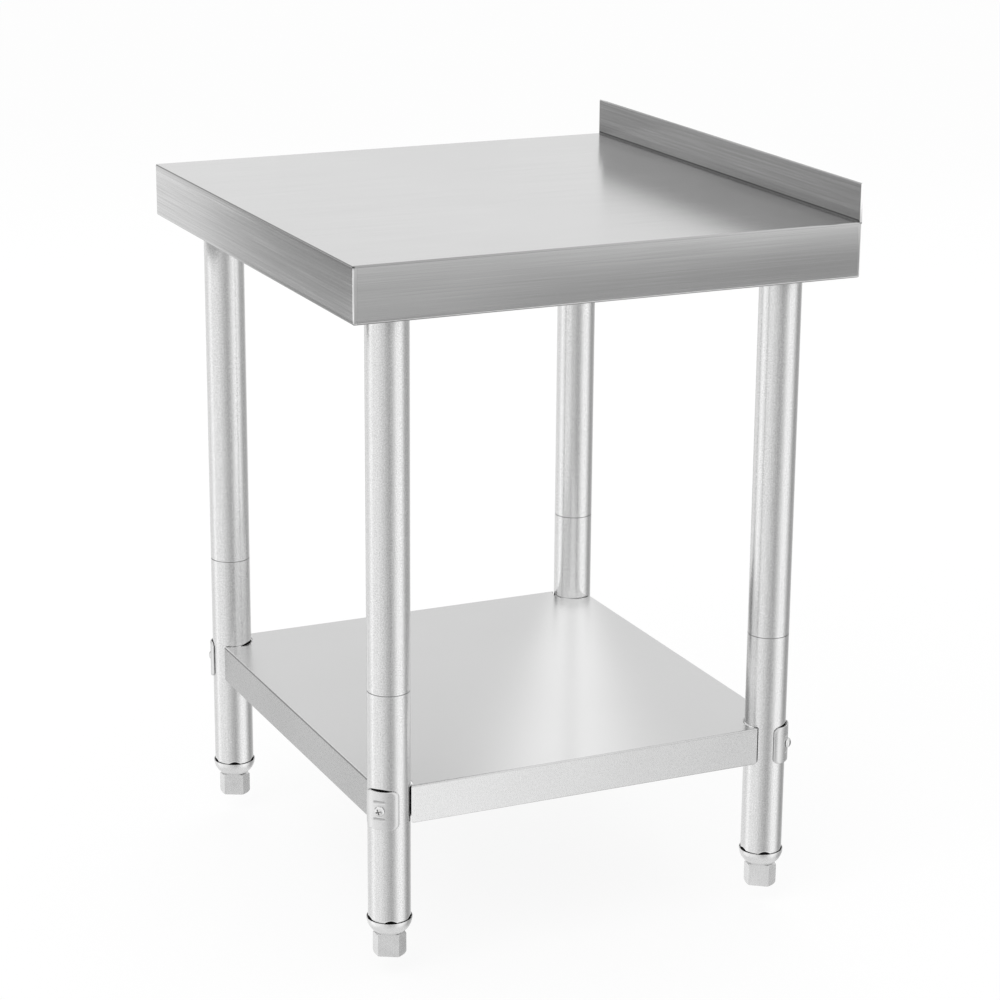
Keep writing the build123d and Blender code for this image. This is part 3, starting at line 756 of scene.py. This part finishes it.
def mill_surface(board, place):
    """Rolled sheet: faint lines along X with broad clouds."""
    lines = streaks(board, place, 2.0 * MM, 200 * MM, 0, 2.0)
    cloud = board.noise(place, 12.0, 3.0)
    return 0.55 + lines * 0.08 + cloud * 0.12, 0.3 + cloud * 0.04 + lines * 0.02, lines


def thread_surface(board, place):
    """Turned surface with fine upright lines. The darker roots come from the painted crevice shade."""
    turned = streaks(board, place, 0.5 * MM, 6 * MM, 2, 2.0)
    return 0.6 + turned * 0.1, 0.22 + turned * 0.04, turned


def weld_surface(board, place):
    """Scaly bead with a straw and grey heat stain."""
    scale = board.noise(place, 1 / (1.2 * MM), 3.0, 0.7)
    stain = board.noise(place, 1 / (14 * MM), 2.0)
    return 0.45 + scale * 0.15 + stain * 0.25, 0.32 + scale * 0.06, scale


def clamp_surface(board, place):
    """Matt speckle, with painted shade on the two pressed ribs of a plate, which are also a little rougher.
    """
    tone, roughness, height = speckled(1.6 * MM, 0.22, 0.3, 0.05)(board, place)
    x, y, z = board.axes(place)
    across, back, outward = from_leg(x, y)
    aside = across * across + back * back - outward * outward
    # Painted shade in the two pressed ribs, with a little more roughness there.
    rib = board.smooth(abs(abs(z - PLATE_LEVEL) - 10 * MM), 1.6 * MM, 0.7 * MM)
    rib = rib * board.smooth(aside, (9 * MM) ** 2, (7 * MM) ** 2) * (outward > LEG_RADIUS * 0.9)
    return tone - rib * 0.8, roughness + rib * 0.1, height


clamp_steel = metal("pressed_clamp_steel", clamp_surface, 0.62, 0.84,
                    relief=0.03 * MM, edge=0.35 * MM, gap_shade=0.9 * MM)
foot_steel = metal("turned_foot_steel", speckled(1.5 * MM, 0.32, 0.26, 0.06), 0.66, 0.96,
                   relief=0.04 * MM, edge=0.6 * MM, gap_shade=1.6 * MM)
screw_steel = metal("bright_screw_steel", speckled(2.0 * MM, 0.15, 0.15, 0.03), 0.6, 0.95,
                    edge=0.25 * MM, gap_shade=3.5 * MM)
cast_metal = metal("cast_socket_metal", speckled(0.8 * MM, 0.22, 0.48, 0.05), 0.42, 0.62,
                   relief=0.08 * MM, edge=0.6 * MM)
mill_steel = metal("mill_channel_steel", mill_surface, 0.5, 0.76, relief=0.01 * MM)
coupling_steel = metal("turned_coupling_steel", thread_surface, 0.3, 0.5, relief=0.01 * MM)
thread_steel = metal("rolled_thread_steel", thread_surface, 0.62, 0.86, relief=0.01 * MM, gap_shade=1.5 * MM)
weld_metal = metal("weld_metal", weld_surface, 0.3, 0.72, relief=0.05 * MM)
print("finishes:", len(bpy.data.materials))


# %% [markdown]
# ## Dress the solids
#
# A solid whose shape is right only needs its finish. The names of the solids say which family
# they belong to, so a table from name to material covers all four corners at once.

# %% Give each solid its finish
FINISHES = {"worktop_sheet": worktop_steel, "shelf_sheet": shelf_steel, "upper_leg": leg_steel,
            "lower_leg": leg_steel, "leg_coupling": coupling_steel, "leg_socket": cast_metal,
            "side_channel": mill_steel, "middle_channel": mill_steel, "shelf_channel": mill_steel,
            "shelf_bracket": clamp_steel, "clamp_plate": clamp_steel, "clamp_screw": screw_steel,
            "clamp_nuts": screw_steel, "grub_screws": screw_steel, "foot_insert": foot_steel,
            "foot_stud": thread_steel, "levelling_foot": foot_steel}


def dress(name, solid):
    """Put the finish of a solid's family into each of its material slots."""
    family = next(family for family in FINISHES if name.startswith(family))
    for slot in solid.material_slots:
        slot.material = FINISHES[family]
    return family


families = {dress(name, solid) for name, solid in nodes.items()}
print("families dressed:", len(families), "of", len(FINISHES))


# %% [markdown]
# ## Surfaces from formulas
#
# Threads, pressed ribs and weld beads are grids of points that are worked out with arrays, then
# joined into quads. A grid can close on itself, and its two ends are closed with one face each.
# Every piece keeps its object at the origin, rides a body of the table and gets its finish as a material.

# %% Define the grid helpers
def quads(rows, columns):
    """Quads between the rows of a grid whose rows are closed rings, and one face for each end."""
    step = np.arange(columns)
    start = np.arange(rows - 1)[:, None] * columns
    here, there = start + step, start + (step + 1) % columns
    faces = np.stack([here, there, there + columns, here + columns], axis=-1).reshape(-1, 4)
    return faces, np.stack([step[::-1], (rows - 1) * columns + step])


def piece(name, points, faces, material, body, replaced=(), crease=35.0):
    """Smooth object at the origin from points in metres, with edges above crease degrees kept.

    faces is a list of arrays, each with one face per row.
    """
    mesh = bpy.data.meshes.new(name)
    mesh.from_pydata(points.reshape(-1, 3).tolist(), [], [face for part in faces for face in part.tolist()])
    mesh.shade_smooth()
    mesh.set_sharp_from_angle(angle=math.radians(crease))
    mesh.materials.append(material)
    made = bpy.data.objects.new(name, mesh)
    bpy.context.scene.collection.objects.link(made)
    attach(made, body)
    if replaced:
        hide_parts(*replaced)
    return made


def at_corner(points, corner):
    """Points given with +X along the outward diagonal, turned and moved to a leg."""
    across, back = CORNERS[corner]
    angle = math.atan2(back, across)
    x, y = points[..., 0], points[..., 1]
    turned = np.stack([x * math.cos(angle) - y * math.sin(angle) + LEG[corner][0],
                       x * math.sin(angle) + y * math.cos(angle) + LEG[corner][1],
                       points[..., 2]], axis=-1)
    return turned


print("grid helpers ready")


# %% [markdown]
# ## Threaded studs
#
# Each foot screws out on a stud. Its crest and root follow one right-handed helix, so the radius
# depends only on the height and the compass angle.

# %% Cut the threads
PITCH = 2.0 * MM
THREAD_DEPTH = 1.2 * MM
THREAD_CHAMFER = 1.0 * MM
ROWS_PER_TURN, THREAD_SIDES = 12, 40


def thread(low, high, crest):
    """Rings of r = crest - depth * tri(z / pitch - angle / 360), with chamfers at both ends.

    tri rises from 0 at a crest to 1 halfway to the next one. Its tips are cut flat, as on a
    rolled thread.
    """
    turns = int(round((high - low) / PITCH))
    z = np.linspace(low, high, turns * ROWS_PER_TURN + 1)[:, None]
    angle = np.linspace(0, math.tau, THREAD_SIDES, endpoint=False)[None, :]
    phase = z / PITCH - angle / math.tau
    tri = 1 - np.abs(2 * (phase - np.floor(phase)) - 1)
    radius = crest - THREAD_DEPTH * np.clip(tri * 1.3 - 0.15, 0, 1)
    radius = np.minimum(radius, crest - THREAD_CHAMFER + np.minimum(z - low, high - z))
    z = np.broadcast_to(z, radius.shape)
    return np.stack([radius * np.cos(angle), radius * np.sin(angle), z], axis=-1)


for corner in CORNERS:
    low, high = box(f"foot_stud_{corner}")
    points = thread(low[2], high[2], (high[0] - low[0]) / 2 - 0.02 * MM)
    points = points + np.array([*LEG[corner], 0.0])
    made = piece(f"thread_{corner}", points, quads(*points.shape[:2]), thread_steel, f"stud_{corner}",
                 [f"foot_stud_{corner}"])
print("threads:", len(CORNERS), "with", len(made.data.polygons), "faces each")


# %% [markdown]
# ## Pressed clamp plates
#
# A clamp plate is bent round the leg, has round corners, and bears on the leg with two ribs that
# the press pushed in. Both faces of the sheet move together at a rib, so a rib shows as a soft
# dent outside.

# %% Press the clamp plates
PLATE_SHEET = 1.5 * MM
PLATE_HALF_ANGLE = math.radians(49)
PLATE_CORNER = 6.0 * MM
PLATE_ROWS, PLATE_COLUMNS = 55, 61
PLATE_GAP = 1.7 * MM
RIB_LEVEL, RIB_HALF, RIB_PRESS = 10.0 * MM, 2.3 * MM, 1.35 * MM
RIB_REACH, PLATE_CURL = 8.0 * MM, 1.45 * MM


def plate(outer, height):
    """Closed shell of a curved plate, with the z axis of the leg as its axis and z = 0 halfway.

    Row j has height z and half width w, which follow quarter circles at the corners. A rib
    presses both faces in by press * (1 + cos(pi u)) / 2, with u the distance from its level in
    half widths, and fades out along the arc. The side edges curl in by curl * t * t, with t from
    0 to 1 over the outer 30 % of the half width.
    """
    half, wide = height / 2, outer * math.sin(PLATE_HALF_ANGLE)
    turn = np.linspace(0, math.pi / 2, 9)
    z = np.concatenate([np.linspace(0, half - PLATE_CORNER, PLATE_ROWS + 1)[:-1],
                        half - PLATE_CORNER + PLATE_CORNER * np.sin(turn)])
    w = np.concatenate([np.full(PLATE_ROWS, wide), wide - PLATE_CORNER + PLATE_CORNER * np.cos(turn)])
    z = np.concatenate([-z[:0:-1], z])[:, None]
    w = np.concatenate([w[:0:-1], w])[:, None]
    across = np.linspace(-1, 1, PLATE_COLUMNS)[None, :]
    angle = across * np.arcsin(w / outer)
    rib = np.clip(np.abs(np.abs(z) - RIB_LEVEL) / RIB_HALF, 0, 1)
    fade = np.clip((RIB_REACH - outer * np.abs(angle)) / (3 * MM), 0, 1)
    press = RIB_PRESS * (1 + np.cos(math.pi * rib)) / 2 * fade * fade * (3 - 2 * fade)
    edge = np.minimum((1 - np.abs(across)) * w, half - np.abs(z) + 0 * across) / (0.6 * MM)
    soft = 0.25 * MM * (1 - np.clip(edge, 0, 1)) ** 2
    press = press + PLATE_CURL * np.clip((np.abs(across) - 0.7) / 0.3, 0, 1) ** 2
    radius = np.concatenate([outer - press - soft, (outer - PLATE_SHEET - press + soft)[:, ::-1]], axis=1)
    angle = np.concatenate([angle, angle[:, ::-1]], axis=1)
    z = np.broadcast_to(z, radius.shape)
    return np.stack([radius * np.cos(angle), radius * np.sin(angle), z], axis=-1)


def strip(start, columns):
    """Quads that close one end of a shell, between its outer half row and its inner half row."""
    step = np.arange(columns // 2 - 1)
    return np.stack([start + step, start + step + 1, start + columns - 2 - step,
                     start + columns - 1 - step], axis=-1)


for corner in CORNERS:
    low, high = box(f"clamp_plate_{corner}")
    points = plate(LEG_RADIUS + PLATE_GAP + PLATE_SHEET, high[2] - low[2])
    rows, columns = points.shape[:2]
    faces = [quads(rows, columns)[0], strip(0, columns)[:, ::-1], strip((rows - 1) * columns, columns)]
    points = at_corner(points, corner) + np.array([0.0, 0.0, (low[2] + high[2]) / 2])
    made = piece(f"pressed_plate_{corner}", points, faces, clamp_steel, "frame",
                 [f"clamp_plate_{corner}"], crease=50.0)
print("plates:", len(CORNERS), "with", len(made.data.polygons), "faces each")


# %% [markdown]
# ## Weld beads
#
# The channels, the sockets and the feet of the brackets are welded on with short stitches, and
# the corners of the worktop's edges are welded inside. A stitch is a quarter round with the
# ripples of a slow hand.

# %% Lay the weld beads
RIPPLE, RIPPLE_STEP = 1.7 * MM, 0.28 * MM


def bead(start, end, face_a, face_b, leg):
    """Rows of a closed section along a seam: its corner, then a quarter circle between two faces.

    At distance s along the seam and angle f from face_a the radius is
    leg * (1 + 0.09 cos(360 (s + 0.35 leg sin 2f) / ripple)), and it shrinks to 0.3 leg at the ends.
    """
    start, end = np.array(start) * MM, np.array(end) * MM
    length = np.linalg.norm(end - start)
    s = np.linspace(0, length, int(length / RIPPLE_STEP))[:, None]
    f = np.linspace(0, math.pi / 2, 8)[None, :]
    wave = np.cos(math.tau * (s + 0.35 * leg * MM * np.sin(2 * f)) / RIPPLE)
    close = np.clip(np.minimum(s, length - s) / (leg * MM), 0, 1)
    radius = leg * MM * (1 + 0.09 * wave) * (0.3 + 0.7 * np.sqrt(close * (2 - close)))
    toward = np.cos(f)[..., None] * np.array(face_a) + np.sin(f)[..., None] * np.array(face_b)
    section = np.concatenate([np.zeros((len(s), 1, 3)), radius[..., None] * toward], axis=1)
    return section + start + (end - start) * (s / length)[..., None]


def weld(name, seams, body, slot):
    """One object from the beads of several seams, each turned so that its faces point outward."""
    points, faces = [], []
    for start, end, face_a, face_b, leg in seams:
        run = np.subtract(end, start)
        if np.dot(np.cross(face_a, face_b), run) < 0:
            face_a, face_b = face_b, face_a
        grid = bead(start, end, face_a, face_b, leg)
        first = sum(len(part) for part in points)
        faces += [part + first for part in quads(*grid.shape[:2])]
        points.append(grid.reshape(-1, 3))
    return piece(name, np.concatenate(points), faces, weld_metal, body, crease=60.0)


def stitches(axis, level, fixed, places, length, out, leg):
    """Seams along X or Y at one height: both sides of each strip edge in fixed, at each place."""
    seams = []
    for edge in fixed:
        for place in places:
            start, end = np.zeros(3), np.zeros(3)
            start[axis], end[axis] = place - length / 2, place + length / 2
            start[1 - axis] = end[1 - axis] = edge[0]
            start[2] = end[2] = level
            away = np.zeros(3)
            away[1 - axis] = edge[1]
            seams.append((start, end, away, out, leg))
    return seams


DOWN = (0.0, 0.0, -1.0)
STITCH, SOCKET_STITCH = 40.0, 52.0
SOCKET_HALF, BRACKET_WALL, BRACKET_REACH = 38.0, 16.0, 44.3
under_top = (WORKTOP - TOP_SHEET) / MM
under_shelf = box("shelf_channel")[1][2] / MM
low, high = (corner / MM for corner in box("side_channel_right"))
edges = [(low[0], -1), (high[0], 1), (-low[0], 1), (-high[0], -1)]
seams = stitches(1, under_top, edges, (-230, -110, 110, 230), STITCH, DOWN, 1.6)
low, high = (corner / MM for corner in box("middle_channel"))
seams += stitches(0, under_top, [(low[1], -1), (high[1], 1)], (-140, 0, 140), STITCH, DOWN, 1.6)
weld("channel_welds", seams, "frame", "channel_steel")
low, high = (corner / MM for corner in box("shelf_channel"))
seams = stitches(0, under_shelf, [(low[1], -1), (high[1], 1)], (-200, -70, 70, 200), STITCH, DOWN, 1.5)
weld("shelf_channel_welds", seams, "frame", "shelf_steel")

seams = []
for corner in CORNERS:
    x, y = LEG[corner] / MM
    top = box(f"leg_socket_{corner}")[1][2] / MM
    seams += stitches(1, top, [(x - SOCKET_HALF, -1), (x + SOCKET_HALF, 1)], (y,), SOCKET_STITCH, DOWN, 2.4)
    seams += stitches(0, top, [(y - SOCKET_HALF, -1), (y + SOCKET_HALF, 1)], (x,), SOCKET_STITCH, DOWN, 2.4)
weld("socket_welds", seams, "frame", "socket_casting")

seams = []
for corner, (across, back) in CORNERS.items():
    x, y = LEG[corner] / MM
    low, high = box(f"shelf_bracket_{corner}") / np.float64(MM)
    for sign_x, sign_y in ((1, 0), (0, 1)):
        place = np.array([x + across * (BRACKET_WALL * sign_x - BRACKET_REACH * sign_y),
                          y + back * (BRACKET_WALL * sign_y - BRACKET_REACH * sign_x)])
        start, end = np.append(place, low[2] + 1.5), np.append(place, high[2] - 1.5)
        along = (-across * sign_y, -back * sign_x, 0.0)
        inward = (-across * sign_x, -back * sign_y, 0.0)
        seams.append((start, end, along, inward, 2.2))
weld("bracket_welds", seams, "frame", "clamp_steel")

inside = (TOP_HIGH - TOP_SHEET) / MM
seams = []
for across, back in CORNERS.values():
    place = np.array([across * inside[0], back * inside[1]])
    seams.append((np.append(place, WORKTOP / MM - 57), np.append(place, WORKTOP / MM - 4),
                  (-across * 1.0, 0.0, 0.0), (0.0, -back * 1.0, 0.0), 2.6))
weld("apron_corner_welds", seams, "frame", "worktop_steel")
